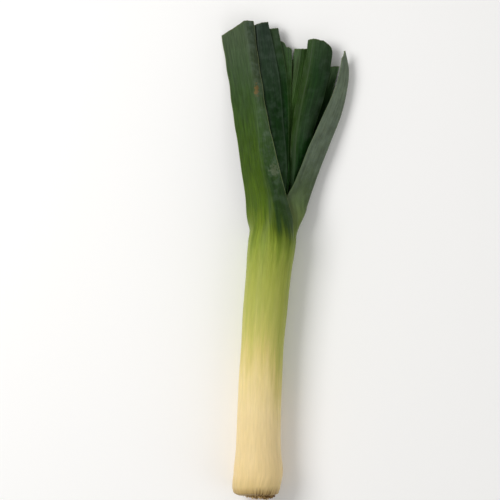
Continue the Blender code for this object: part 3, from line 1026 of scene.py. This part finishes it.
@dataclass(frozen=True)
class StrapLeaf:
    """A folded strap leaf, lofted on its left margin, its keel and its right margin.

    The tip is a list of (across, y), with across -1 at the left margin and 1 at the right.
    """

    node: str
    stations: tuple[Station, ...]
    tip: tuple[tuple[float, float], ...]
    keel_round: float
    blade: LeafBlade
    sheath_angles: tuple[float, ...] = ()
    outer: Side = Side.FRONT
    half_width: float = 14.0
    seed: int = 0
    columns: int = 108
    rows: int = 180
    base_thickness: float = 1.4
    tip_thickness: float = 1.0
    margin_thickness: float = 0.4
    # The length above the collar over which the strap thins
    taper: float = 140.0
    vein_height: float = 0.05
    keel_height: float = 0.28
    keel_width: float = 0.9
    ruffle: float = 0.28
    ruffle_wave: float = 17.0
    # How deep the cut is frayed, and the widths of its coarse and fine frays
    fray: float = 0.22
    coarse_fray: float = 0.9
    fine_fray: float = 0.35
    # Over the shaft the sheath is a thin skin that starts at this height
    skin_start: float = 138.0
    skin_thickness: float = 0.2
    skin_lift: float = 0.06
    grown_tip: bool = False

    @property
    def base_y(self) -> float:
        """Return where the piece starts: low on the shaft for a sheath, else inside the core."""
        return self.skin_start if self.sheath_angles else LEAF_BASE_Y - LEAF_SUNK

    def sheath_station(self) -> Station:
        """Work out the leaf's first section, on the sheath's ring at the collar.

        Returns:
            The section.
        """
        centre = float(axis_x(COLLAR_Y))
        on_ring = []
        for angle in self.sheath_angles[1:]:
            turn = math.radians(angle)
            x = centre + SHEATH_RADIUS * math.cos(turn)
            z = AXIS_HEIGHT + SHEATH_RADIUS * math.sin(turn)
            on_ring.append((x, z))
        return Station(COLLAR_Y + 0.3, *on_ring)

    def rails(self, y: np.ndarray) -> np.ndarray:
        """Return the leaf's section, on smooth curves through its stations.

        Args:
            y: heights in millimetres.

        Returns:
            For each height, x and z of the left margin, the keel and the right margin.
        """
        stations = self.stations
        if self.sheath_angles:
            stations = (self.sheath_station(), *stations)
        heights = np.array([s.y for s in stations], float)
        values = np.array([s.values() for s in stations], float)
        return curve_through(heights, values, y)

    def thickness(self, across: np.ndarray, y: np.ndarray) -> np.ndarray:
        """Return the strap's thickness: thin at its margins, and over the shaft a mere skin.

        Args:
            across: places across the leaf, -1 to 1, a grid.
            y: heights in millimetres, a grid of the same shape.

        Returns:
            The thickness at each place.
        """
        share = np.clip((y - COLLAR_Y) / self.taper, 0.0, 1.0)
        middle = self.base_thickness + (self.tip_thickness - self.base_thickness) * share
        full = middle + (self.margin_thickness - middle) * np.abs(across) ** 5
        if self.sheath_angles:
            skin = rise(y, self.skin_start, COLLAR_Y + 4.0)
            full = self.skin_thickness + (full - self.skin_thickness) * skin
        return full

    def middle(self, across: np.ndarray, y: np.ndarray, shaft: Shaft) -> np.ndarray:
        """Return points of the leaf's middle surface.

        Args:
            across: places across the leaf, -1 to 1, a grid.
            y: heights in millimetres, a grid of the same shape.
            shaft: the shaft, which the sheath hugs.

        Returns:
            Rows of x, y, z in millimetres.
        """
        roundness = np.full_like(y, self.keel_round)
        if self.sheath_angles:
            roundness += SHEATH_ROUNDNESS * (1.0 - rise(y, COLLAR_Y, COLLAR_Y + 2 * SHEATH_OPENING))
        values = self.rails(y)
        left, keel, right = values[..., 0:2], values[..., 2:4], values[..., 4:6]
        bend = (np.hypot(across, roundness) - roundness) / (np.hypot(1.0, roundness) - roundness)
        section = keel + (right - left) / 2 * across[..., None]
        section += ((right + left) / 2 - keel) * bend[..., None]
        if self.sheath_angles:
            section = self.on_ring(across, y, shaft, section)
        return np.stack([section[..., 0], y, section[..., 1]], axis=-1)

    def on_ring(
        self, across: np.ndarray, y: np.ndarray, shaft: Shaft, section: np.ndarray
    ) -> np.ndarray:
        """Blend the section from the sheath's ring, which hugs the shaft, to its open form.

        The left margin may climb round the ring as the sheath parts.

        Args:
            across: places across the leaf, -1 to 1, a grid.
            y: heights in millimetres, a grid of the same shape.
            shaft: the shaft, which the sheath hugs.
            section: x and z of the open form at each place.

        Returns:
            The blended x and z.
        """
        turn = self.sheath_turn(across, y)
        on_shaft = shaft.radius(np.minimum(y, COLLAR_Y)) + self.skin_lift
        hugging = on_shaft - self.thickness(across, y) / 2
        blend_in = rise(y, COLLAR_Y, COLLAR_Y + 6.0)
        reach = hugging * (1 - blend_in) + SHEATH_RADIUS * blend_in
        centre = axis_x(np.minimum(y, COLLAR_Y))
        ring = np.stack([centre + reach * np.cos(turn), AXIS_HEIGHT + reach * np.sin(turn)], axis=-1)
        opened = rise(y, COLLAR_Y, COLLAR_Y + SHEATH_OPENING)[..., None]
        return ring * (1 - opened) + section * opened

    def sheath_turn(self, across: np.ndarray, y: np.ndarray) -> np.ndarray:
        """Return the angle round the shaft, in radians, of places on the sheath.

        Args:
            across: places across the leaf, -1 to 1, a grid.
            y: heights in millimetres, a grid of the same shape.

        Returns:
            The angles.
        """
        closed, opened, keel, right = (math.radians(a) for a in self.sheath_angles)
        climb = rise(y, COLLAR_Y, COLLAR_Y + SHEATH_PARTING)
        left = closed + (opened - closed) * climb
        return np.where(across < 0, keel + (left - keel) * -across, keel + (right - keel) * across)

    def around(self, across: np.ndarray, y: np.ndarray) -> np.ndarray:
        """Return the distance across the veins, counted as on the shaft for a sheath.

        Args:
            across: places across the leaf, -1 to 1, a grid.
            y: heights in millimetres, a grid of the same shape.

        Returns:
            The distance in millimetres at each place.
        """
        if self.sheath_angles:
            return VEIN_RADIUS * (math.radians(VEIN_START) - self.sheath_turn(across, y))
        return across * self.half_width + 40.0 * self.seed

    def tip_height(self, across: np.ndarray) -> np.ndarray:
        """Return the height of the cut tip, with its frayed vein ends.

        Args:
            across: places across the leaf, -1 to 1.

        Returns:
            One height for each place.
        """
        places, heights = zip(*self.tip)
        cut = np.interp(across, places, heights)
        millimetres = across * self.half_width
        coarse = uneven(self.seed, millimetres, self.coarse_fray)
        fine = uneven(self.seed + 50, millimetres, self.fine_fray)
        return cut + self.fray * (0.6 * coarse + 0.4 * fine)

    def outer_gain(self, across: np.ndarray, y: np.ndarray) -> np.ndarray:
        """Return how far the keel's ridge stands out of the outer face."""
        ridge = self.keel_height * np.exp(-((across * self.half_width / self.keel_width) ** 2))
        return ridge * rise(y, 165.0, 195.0) * (1.0 - 0.5 * rise(y, 230.0, 290.0))

    def wave(self, across: np.ndarray, y: np.ndarray) -> np.ndarray:
        """Return how far the leaf's margins wave out of its middle surface."""
        free = rise(y, 185.0, 220.0) * rise(np.abs(across), 0.62, 1.0)
        return Ripple(100 + self.seed, self.ruffle_wave, 4).at(y, across * 9.0) * self.ruffle * free

    def build(self, shaft: Shaft, cut: bpy.types.Material) -> bpy.types.Object:
        """Build the leaf as one closed strap.

        Args:
            shaft: the shaft, which a sheath hugs.
            cut: the material of the cut tip.

        Returns:
            The leaf's object.
        """
        spread = np.linspace(-1, 1, self.columns + 1)
        tips = self.tip_height(spread)
        share = np.linspace(0, 1, self.rows + 1)
        y = self.base_y + (tips - self.base_y)[None, :] * share[:, None]
        across = np.broadcast_to(spread, y.shape)
        middle = self.middle(across, y, shaft)
        normal = np.cross(np.gradient(middle, axis=1), np.gradient(middle, axis=0))
        normal /= np.linalg.norm(normal, axis=-1, keepdims=True)
        middle = middle + normal * self.wave(across, y)[..., None]
        around = self.around(across, y)
        relief = self.vein_height * vein_relief(around, y)
        half = self.thickness(across, y) / 2
        outside = half + relief + self.outer_gain(across, y)
        inside = half + relief * 0.5
        up, down = (outside, inside) if self.outer is Side.FRONT else (inside, outside)
        front = Settling().bend(middle + normal * up[..., None])
        back = Settling().bend(middle - normal * down[..., None])
        points = np.concatenate([front.reshape(-1, 3), back.reshape(-1, 3)])
        points[:, 2] = np.maximum(points[:, 2], 0.0)
        veins = np.stack([around, y, across], axis=-1).reshape(-1, 3)
        edges = self.edges(middle, tips[None, :] - y)
        attributes = {"veins": np.concatenate([veins, veins]), "edges": edges}
        faces, cut_count = self.strap_faces(self.rows + 1, self.columns + 1)
        if self.grown_tip:
            cut_count = 0
        materials = [self.blade.build(), cut]
        piece = make_object(self.node + "_blade", points, faces, attributes, materials, cut_count)
        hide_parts(self.node)
        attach(piece, BODY)
        return piece

    def edges(self, middle: np.ndarray, to_tip: np.ndarray) -> np.ndarray:
        """Return each point's distance to a margin and to the tip, and whether it is outside.

        Args:
            middle: the points of the leaf's middle surface, a grid.
            to_tip: each point's distance below the cut tip.

        Returns:
            One row for each point of the front and then of the back.
        """
        steps = np.linalg.norm(np.diff(middle, axis=1), axis=-1)
        walked = np.concatenate([np.zeros((len(middle), 1)), np.cumsum(steps, axis=1)], axis=1)
        margin = np.minimum(walked, walked[:, -1:] - walked)
        front_flag = np.full_like(to_tip, 1.0 if self.outer is Side.FRONT else 0.0)
        both = [np.stack([margin, to_tip, flag], axis=-1) for flag in (front_flag, 1.0 - front_flag)]
        return np.concatenate(both).reshape(-1, 3)

    @staticmethod
    def strap_faces(rows: int, columns: int) -> tuple[list[tuple[int, ...]], int]:
        """Return the faces of a closed strap, those of the cut tip last.

        Args:
            rows: how many rows of points each side has.
            columns: how many points each row has.

        Returns:
            The point numbers of each face, and how many of the faces are the tip's.
        """
        count = rows * columns
        index = np.arange(count).reshape(rows, columns)
        a, b = index[:-1, :-1].ravel(), index[:-1, 1:].ravel()
        c, d = index[1:, 1:].ravel(), index[1:, :-1].ravel()
        faces = np.stack([a, b, c, d], axis=1).tolist()
        faces += np.stack([d + count, c + count, b + count, a + count], axis=1).tolist()
        for edge in (index[0, :], index[:, -1], index[::-1, 0]):
            for a, b in zip(edge[:-1].tolist(), edge[1:].tolist()):
                faces.append((b, a, a + count, b + count))
        tip = index[-1, ::-1].tolist()
        for a, b in zip(tip[:-1], tip[1:]):
            faces.append((b, a, a + count, b + count))
        return faces, len(tip) - 1


@dataclass
class RootEnd:
    """The basal plate and the trimmed roots that stand on it."""

    plate_x: float = -0.4
    plate_radius: float = 10.8
    plate_depth: float = 1.6
    plate_rings: int = 14
    plate_sides: int = 96
    plate_y: float = -15.6
    plate_sunk: float = 0.4
    plate_tint: float = -0.06
    knob_height: float = 0.28
    stub_count: int = 210
    stub_sides: int = 7
    stub_rows: int = 9
    # Limits of the draws for each root
    stub_length: tuple[float, float] = (1.2, 3.0)
    stub_radius: tuple[float, float] = (0.36, 0.62)
    stub_tint: tuple[float, float] = (-0.12, 0.16)
    curl: float = 0.34
    draw: random.Random = field(default_factory=lambda: random.Random(31))

    def base_y(self, x: float | np.ndarray) -> float | np.ndarray:
        """Return the height of the shaft's tilted lower end at x."""
        lower_end = float(axis_x(self.plate_y))
        return self.plate_y - BASE_TILT * (x - lower_end)

    def plate(self) -> tuple[np.ndarray, list[tuple[int, ...]], np.ndarray]:
        """Build the knobbly basal plate.

        Returns:
            Its points, faces and tints.
        """
        points, tints = [], []
        knobs = Ripple(77, 3.2, 8)
        for ring in range(self.plate_rings + 1):
            share = ring / self.plate_rings
            radius = self.plate_radius * math.cos(share * math.pi / 2 * 0.97) ** 0.55
            depth = self.plate_depth * math.sin(share * math.pi / 2)
            for side in range(self.plate_sides):
                turn = 2 * math.pi * side / self.plate_sides
                x, z = self.plate_x + radius * math.cos(turn), radius * math.sin(turn)
                bump = self.knob_height * float(knobs.at(np.array(x), np.array(z)))
                y = self.base_y(x) + self.plate_sunk - depth - bump * share
                points.append((x, y, AXIS_HEIGHT + z))
                tints.append((self.plate_tint, 0.0, 0.0))
        faces = tube_faces(self.plate_rings + 1, self.plate_sides, right_handed=True)
        return np.array(points), faces, np.array(tints)

    def stub_path(self, index: int) -> list[Vector]:
        """Draw the middle line of one trimmed root, which leaves the plate and curls.

        Args:
            index: the root's number, counted outward from the plate's middle.

        Returns:
            Points along the line, in millimetres.
        """
        draw = self.draw
        share = math.sqrt((index + 0.5) / self.stub_count)
        turn = index * math.radians(GOLDEN_ANGLE)
        radius = share * (self.plate_radius - 0.5)
        outward = Vector((math.cos(turn), 0.0, math.sin(turn)))
        start = Vector((self.plate_x, 0.0, AXIS_HEIGHT)) + outward * radius
        start.y = self.base_y(start.x) - 0.1 - 0.8 * (1.0 - share)
        shorter = 1.0 - 0.55 * float(rise(start.x, 4.0, 10.0))
        length = draw.uniform(*self.stub_length) * (1.0 + 0.02 * start.x) * shorter
        heading = (outward * (0.1 + 0.8 * share**2) + Vector((0.0, -1.0, 0.0))).normalized()
        bend = Vector((draw.uniform(-1, 1), draw.uniform(-0.35, 0.35), draw.uniform(-1, 1)))
        path = [start]
        step = length / (self.stub_rows - 1)
        for _ in range(self.stub_rows - 1):
            path.append(path[-1] + heading * step)
            heading = (heading + bend * self.curl * (step * 1.2)).normalized()
        return path

    def stub(self, index: int) -> tuple[np.ndarray, list[tuple[int, ...]], np.ndarray]:
        """Build one trimmed root.

        Args:
            index: the root's number, counted outward from the plate's middle.

        Returns:
            Its points, faces and tints.
        """
        path = self.stub_path(index)
        size = self.draw.uniform(*self.stub_radius)
        tint = self.draw.uniform(*self.stub_tint) - 0.012 * path[0].x
        points = []
        for level, centre in enumerate(path):
            ahead = path[min(level + 1, len(path) - 1)] - path[max(level - 1, 0)]
            side_way = ahead.cross(Vector((0.3, 0.2, 1.0))).normalized()
            up_way = side_way.cross(ahead).normalized()
            radius = size * (1.0 - 0.28 * level / len(path)) * self.draw.uniform(0.9, 1.1)
            for side in range(self.stub_sides):
                turn = 2 * math.pi * side / self.stub_sides
                reach = side_way * math.cos(turn) + up_way * math.sin(turn)
                points.append(tuple(centre + radius * reach))
        faces = tube_faces(len(path), self.stub_sides, right_handed=True)
        return np.array(points), faces, np.full((len(points), 3), (tint, 0.0, 0.0))

    def build(self, fibre: bpy.types.Material) -> bpy.types.Object:
        """Build the plate and its roots as one piece.

        Args:
            fibre: the roots' material.

        Returns:
            The piece's object.
        """
        parts = [self.plate()] + [self.stub(index) for index in range(self.stub_count)]
        points, faces, tints, count = [], [], [], 0
        for part_points, part_faces, part_tints in parts:
            points.append(part_points)
            tints.append(part_tints)
            faces += [tuple(corner + count for corner in face) for face in part_faces]
            count += len(part_points)
        attributes = {"veins": np.concatenate(tints)}
        piece = make_object("root_brush", np.concatenate(points), faces, attributes, [fibre])
        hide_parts("root_stubs")
        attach(piece, BODY)
        return piece


# Greens of the leaves by height, each from its base to its cut tip; stops that also hold painted light
# or painted shade are marked
FRONT_LEFT: Stops = (
    (150.0, "7A8828"),
    (162.0, "607216"),
    (175.0, "455C08"),
    (195.0, "374F05"),
    (218.0, "324B08"),
    (244.0, "2E4619"),
    (264.0, "354929"),
    (290.0, "3F4E34"),
)
# Partly painted shade: leaf_1's right half is its own bluer green, also darkened as the half turned
# away from the key lamp
FRONT_RIGHT: Stops = (
    (148.0, "5F7222"),
    (155.0, "405410"),
    (162.0, "2A4214"),
    (186.0, "263E1A"),
    (200.0, "314A22"),
    (235.0, "425A33"),
    (262.0, "3C4A30"),
    (296.0, "364430"),
)
SECOND_GREEN: Stops = ((176.0, "122E0A"), (240.0, "0E280A"), (258.0, "213420"), (290.0, "263428"))
THIRD_GREEN: Stops = ((176.0, "0D2E06"), (240.0, "0C3006"), (262.0, "193413"), (288.0, "2B3D24"))
# Painted light: the lower stops are lighter to stand in for light in the shaded slit beside leaf_5
FOURTH_GREEN: Stops = ((176.0, "2E5E16"), (241.0, "335A20"), (262.0, "2F4B1E"), (282.0, "34482C"))
# Partly the paler base of an inner leaf, partly painted light: the lower and middle stops stand in for
# light where leaf_5 lies in shade between leaf_4 and leaf_6
HEART_LEFT: Stops = (
    (176.0, "4A7E34"),
    (206.0, "385E1E"),
    (228.0, "3E6226"),
    (239.0, "4A6C2E"),
    (254.0, "2F471B"),
    (262.0, "273C12"),
    (276.0, "38502A"),
)
# Partly the paler base of an inner leaf, partly painted light in the shade between leaf_4 and leaf_6
HEART_RIGHT: Stops = (
    (176.0, "72B064"),
    (202.0, "487E3C"),
    (228.0, "3E6226"),
    (250.0, "385424"),
    (276.0, "2E461E"),
)
WIDE_BAND: Stops = (
    (176.0, "142C09"),
    (200.0, "17310C"),
    (216.0, "22390E"),
    (251.0, "263B14"),
    (280.0, "324825"),
)
WIDE_GREEN: Stops = (
    (176.0, "0D2806"),
    (214.0, "163A11"),
    (226.0, "294024"),
    (245.0, "1C3716"),
    (262.0, "1B3817"),
    (284.0, "304429"),
)
# Partly the paler inner face, partly painted light: the top stops stand in for light that leaf_6 and
# leaf_8 keep off
UNDER_GREEN: Stops = ((176.0, "12300E"), (246.0, "1A3814"), (258.0, "35502C"), (268.0, "6C8A60"))
# Painted light: the stops from 164 to 174 are lighter to make up for the shade that leaf_1 casts
RIGHT_GREEN: Stops = (
    (150.0, "6A7C30"),
    (164.0, "647442"),
    (174.0, "56683F"),
    (186.0, "4B5B3C"),
    (202.0, "505D48"),
    (232.0, "5F6B58"),
    (280.0, "616D5A"),
)

SKIN = SheathSkin()

LEAVES = (
    StrapLeaf(
        "leaf_1",
        (
            Station(166, (-8.4, 13.2), (7.6, 31.0), (21.4, 23.8)),
            Station(180, (-9.2, 14.5), (6.2, 30.2), (17.8, 24.6)),
            Station(198, (-11.9, 14.5), (2.3, 28.4), (13.2, 24.2)),
            Station(231, (-16.8, 9.5), (-1.3, 23.8), (5.6, 20.6)),
            Station(264, (-21.3, 3.6), (-5.6, 19.4), (0.3, 16.6)),
            Station(297, (-26.8, -0.7), (-10.2, 16.0), (-4.2, 13.6)),
        ),
        ((-1, 287.8), (-0.45, 292.5), (0, 296.6), (1, 296.4)),
        keel_round=0.18,
        blade=LeafBlade(
            "front_leaf_blade",
            FRONT_LEFT,
            FRONT_RIGHT,
            margin="8F9A66",
            margin_strength=0.6,
            bloom_strength=0.02,
            right_bloom=0.2,
            sheath=SKIN,
            blemishes=(
                Blemish(-1.9, 250.5, 3.2, 11.0, "7C5C34", 0.62),
                Blemish(9.6, 197.5, 6.4, 10.0, "888C74", 0.28),
            ),
        ),
        sheath_angles=(222, 182, 90, 18),
        half_width=17.0,
        seed=1,
    ),
    StrapLeaf(
        "leaf_2",
        (
            Station(LEAF_BASE_Y, (-5.0, 15.5), (7.0, 26.2), (16.6, 20.4)),
            Station(198, (-6.0, 13.0), (7.0, 23.2), (18.0, 19.8)),
            Station(231, (-8.0, 8.5), (4.5, 18.2), (15.8, 16.0)),
            Station(262, (-10.0, 5.0), (0.5, 14.8), (12.6, 12.9)),
            Station(296, (-13.0, 2.6), (-2.2, 12.0), (5.7, 10.6)),
        ),
        ((-1, 289), (-0.2, 293.6), (0.3, 295.4), (1, 296.3)),
        keel_round=0.3,
        blade=LeafBlade(
            "second_leaf_blade",
            SECOND_GREEN,
            SECOND_GREEN,
            margin="4C5C4B",
            margin_width=1.6,
        ),
        half_width=14.0,
        seed=2,
    ),
    StrapLeaf(
        "leaf_3",
        (
            Station(LEAF_BASE_Y, (-1.5, 13.5), (9.0, 23.2), (17.0, 17.2)),
            Station(198, (-2.0, 11.0), (9.5, 20.2), (18.8, 16.8)),
            Station(231, (-2.5, 6.6), (9.0, 15.0), (19.5, 12.8)),
            Station(262, (-3.0, 3.2), (7.0, 11.6), (17.6, 10.0)),
            Station(292, (-4.0, 1.4), (4.8, 8.9), (12.4, 7.8)),
        ),
        ((-1, 287.8), (0.2, 291.6), (1, 292.4)),
        keel_round=0.3,
        blade=LeafBlade("third_leaf_blade", THIRD_GREEN, THIRD_GREEN),
        half_width=12.5,
        seed=3,
    ),
    StrapLeaf(
        "leaf_4",
        (
            Station(LEAF_BASE_Y, (2.0, 12.0), (10.3, 20.0), (16.8, 14.0)),
            Station(198, (2.0, 9.0), (11.5, 17.3), (18.6, 14.2)),
            Station(231, (3.0, 5.0), (12.5, 12.1), (20.4, 10.3)),
            Station(262, (4.0, 2.2), (13.0, 8.6), (21.4, 7.2)),
            Station(284, (5.0, 0.7), (13.6, 6.2), (21.2, 5.0)),
        ),
        ((-1, 281.6), (0, 283.8), (0.3, 282.8), (0.5, 280.2), (1, 278.6)),
        keel_round=0.3,
        blade=LeafBlade("fourth_leaf_blade", FOURTH_GREEN, FOURTH_GREEN),
        half_width=10.5,
        seed=4,
        fray=0.7,
    ),
    StrapLeaf(
        "leaf_5",
        (
            Station(LEAF_BASE_Y, (6.2, 10.8), (11.6, 16.3), (17.0, 11.0)),
            Station(198, (7.0, 8.4), (14.2, 12.7), (21.4, 10.2)),
            Station(231, (13.2, 6.8), (19.9, 8.0), (26.0, 6.2)),
            Station(262, (20.4, 5.0), (25.4, 6.2), (30.8, 4.4)),
            Station(278, (23.1, 4.0), (27.6, 5.2), (33.0, 3.4)),
        ),
        ((-1, 278.8), (1, 278.7)),
        keel_round=0.4,
        blade=LeafBlade(
            "heart_leaf_blade",
            HEART_LEFT,
            HEART_RIGHT,
            bloom_strength=0.02,
            right_bloom=0.02,
        ),
        half_width=7.5,
        keel_height=0.12,
        seed=5,
    ),
    StrapLeaf(
        "leaf_6",
        (
            Station(LEAF_BASE_Y, (19.0, 14.6), (20.2, 15.2), (21.8, 12.0)),
            Station(198, (20.8, 15.6), (23.8, 16.8), (30.0, 11.8)),
            Station(216, (20.8, 14.2), (25.0, 16.4), (34.0, 11.6)),
            Station(236, (23.4, 12.4), (27.9, 15.4), (39.6, 10.8)),
            Station(250, (26.2, 11.4), (30.6, 14.6), (43.6, 10.2)),
            Station(264, (29.0, 10.4), (33.2, 13.8), (46.4, 9.6)),
            Station(285, (32.4, 9.2), (36.2, 12.8), (49.0, 8.8)),
        ),
        ((-1, 284.2), (0, 284.8), (0.5, 283.6), (0.8, 281), (0.94, 279), (1, 276)),
        keel_round=0.14,
        blade=LeafBlade(
            "wide_leaf_blade",
            WIDE_BAND,
            WIDE_GREEN,
            bloom_strength=0.03,
            right_bloom=0.04,
            # Painted shade on the right part of this leaf's face
            far_shade=0.6,
        ),
        half_width=11.0,
        keel_height=0.02,
        seed=6,
    ),
    StrapLeaf(
        "leaf_7",
        (
            Station(LEAF_BASE_Y, (5.0, 8.6), (12.0, 6.4), (18.5, 9.4)),
            Station(198, (14.0, 5.4), (21.5, 3.2), (27.6, 5.8)),
            Station(231, (24.5, 3.0), (34.0, 1.2), (43.0, 3.0)),
            Station(267, (35.0, 2.4), (44.5, 0.6), (52.6, 2.4)),
        ),
        ((-1, 266.5), (1, 267.3)),
        keel_round=0.5,
        blade=LeafBlade("under_leaf_blade", UNDER_GREEN, UNDER_GREEN),
        outer=Side.BACK,
        half_width=9.0,
        seed=7,
    ),
    StrapLeaf(
        "leaf_8",
        (
            Station(166, (1.0, 1.8), (28.2, 12.4), (20.5, 19.8)),
            Station(181, (15.5, 1.6), (33.0, 10.6), (18.3, 21.0)),
            Station(187, (20.6, 1.5), (35.0, 10.0), (21.8, 20.6)),
            Station(198, (29.0, 1.4), (39.0, 9.0), (26.6, 19.4)),
            Station(216, (39.2, 1.0), (46.2, 8.0), (33.9, 17.4)),
            Station(236, (48.6, 0.8), (53.8, 7.2), (43.0, 15.0)),
            Station(250, (52.0, 0.8), (56.9, 6.9), (49.0, 13.4)),
            Station(264, (54.6, 1.6), (58.3, 6.6), (52.8, 11.6)),
            Station(279, (54.8, 4.6), (55.7, 6.6), (55.0, 9.0)),
        ),
        ((-1, 266), (-0.5, 273), (0, 277.2), (1, 272)),
        keel_round=0.2,
        blade=LeafBlade(
            "right_leaf_blade",
            RIGHT_GREEN,
            RIGHT_GREEN,
            bloom_strength=0.1,
            right_bloom=0.1,
            sheath=SKIN,
        ),
        sheath_angles=(-134, -134, -8, 14.5),
        outer=Side.BACK,
        half_width=12.0,
        seed=8,
        grown_tip=True,
    ),
)


@dataclass(frozen=True)
class Lamp:
    """A square soft lamp, with its place and size in metres."""

    name: str
    place: tuple[float, float, float]
    size: float
    watts: float

    def hang(self, target: Vector) -> None:
        """Hang the lamp in the scene.

        Args:
            target: the point that it is turned to.
        """
        data = bpy.data.lights.new(self.name, "AREA")
        data.shape = "SQUARE"
        data.size = self.size
        data.energy = self.watts
        lamp = bpy.data.objects.new(self.name, data)
        lamp.location = self.place
        lamp.rotation_euler = (target - Vector(self.place)).to_track_quat("-Z", "Y").to_euler()
        bpy.context.scene.collection.objects.link(lamp)


@dataclass(frozen=True)
class Studio:
    """A plain pale floor, soft light and a camera that looks straight down on the leek."""

    # The photograph's frame: millimetres for each pixel, and the pixel at the bulb's middle
    pixel: float = 0.66
    frame_pixels: float = 500.0
    bulb_pixel: tuple[float, float] = (259.5, 470.0)
    lens: float = 200.0
    sensor: float = 36.0
    floor_reach: float = 4.0
    floor_gap: float = 0.05
    floor_colour: str = "FBFAF8"
    floor_roughness: float = 0.8
    # The lamps, and the point on the leek that they are turned to
    lamps: tuple[Lamp, ...] = (
        Lamp("key_lamp", (-0.75, 0.45, 0.95), 0.6, 10.2),
        Lamp("fill_lamp", (0.95, -0.25, 0.75), 0.9, 2.5),
    )
    lamp_target: tuple[float, float, float] = (0.01, 0.14, 0.01)
    ambient: float = 0.43

    def floor(self) -> None:
        """Build the floor as a flat sheet under the leek."""
        reach = self.floor_reach / MM
        corners = [(-reach, -reach, 0), (reach, -reach, 0), (reach, reach, 0), (-reach, reach, 0)]
        material, tree, shader = new_material("painted_board")
        feed(tree, shader, {"Base Color": linear(self.floor_colour), "Roughness": self.floor_roughness})
        piece = make_object("floor", np.array(corners, float), [(0, 1, 2, 3)], {}, [material])
        piece.location.z = -self.floor_gap * MM

    def camera(self) -> None:
        """Place the camera over the photograph's frame, in scale at the height of the shaft's axis."""
        middle_x = (self.frame_pixels / 2 - self.bulb_pixel[0]) * self.pixel
        middle_y = (self.bulb_pixel[1] - self.frame_pixels / 2) * self.pixel
        width = self.frame_pixels * self.pixel
        data = bpy.data.cameras.new("camera")
        data.lens = self.lens
        data.sensor_width = self.sensor
        data.clip_end = 20.0
        camera = bpy.data.objects.new("camera", data)
        height = AXIS_HEIGHT + width * self.lens / self.sensor
        camera.location = (middle_x * MM, middle_y * MM, height * MM)
        bpy.context.scene.collection.objects.link(camera)
        bpy.context.scene.camera = camera

    def light(self) -> None:
        """Hang the lamps and set the even light of the room."""
        for lamp in self.lamps:
            lamp.hang(Vector(self.lamp_target))
        world = bpy.data.worlds.new("room")
        world.use_nodes = True
        room = world.node_tree.nodes["Background"]
        room.inputs["Color"].default_value = (1.0, 1.0, 1.0, 1.0)
        room.inputs["Strength"].default_value = self.ambient
        bpy.context.scene.world = world

    def build(self) -> None:
        """Build the floor, the camera and the light."""
        self.floor()
        self.camera()
        self.light()
        bpy.context.scene.view_settings.view_transform = "Standard"


def main() -> None:
    """Build every piece in order and report it."""
    logging.basicConfig(level=logging.INFO, format="%(message)s")
    shaft = Shaft()
    pieces = [shaft.build(SKIN.build()), RootEnd().build(RootFibre().build())]
    cut = CutFlesh().build()
    pieces += [leaf.build(shaft, cut) for leaf in LEAVES]
    for piece in pieces:
        LOG.info("%s: %d faces", piece.name, len(piece.data.polygons))
    Studio().build()


if __name__ == "__main__":
    main()
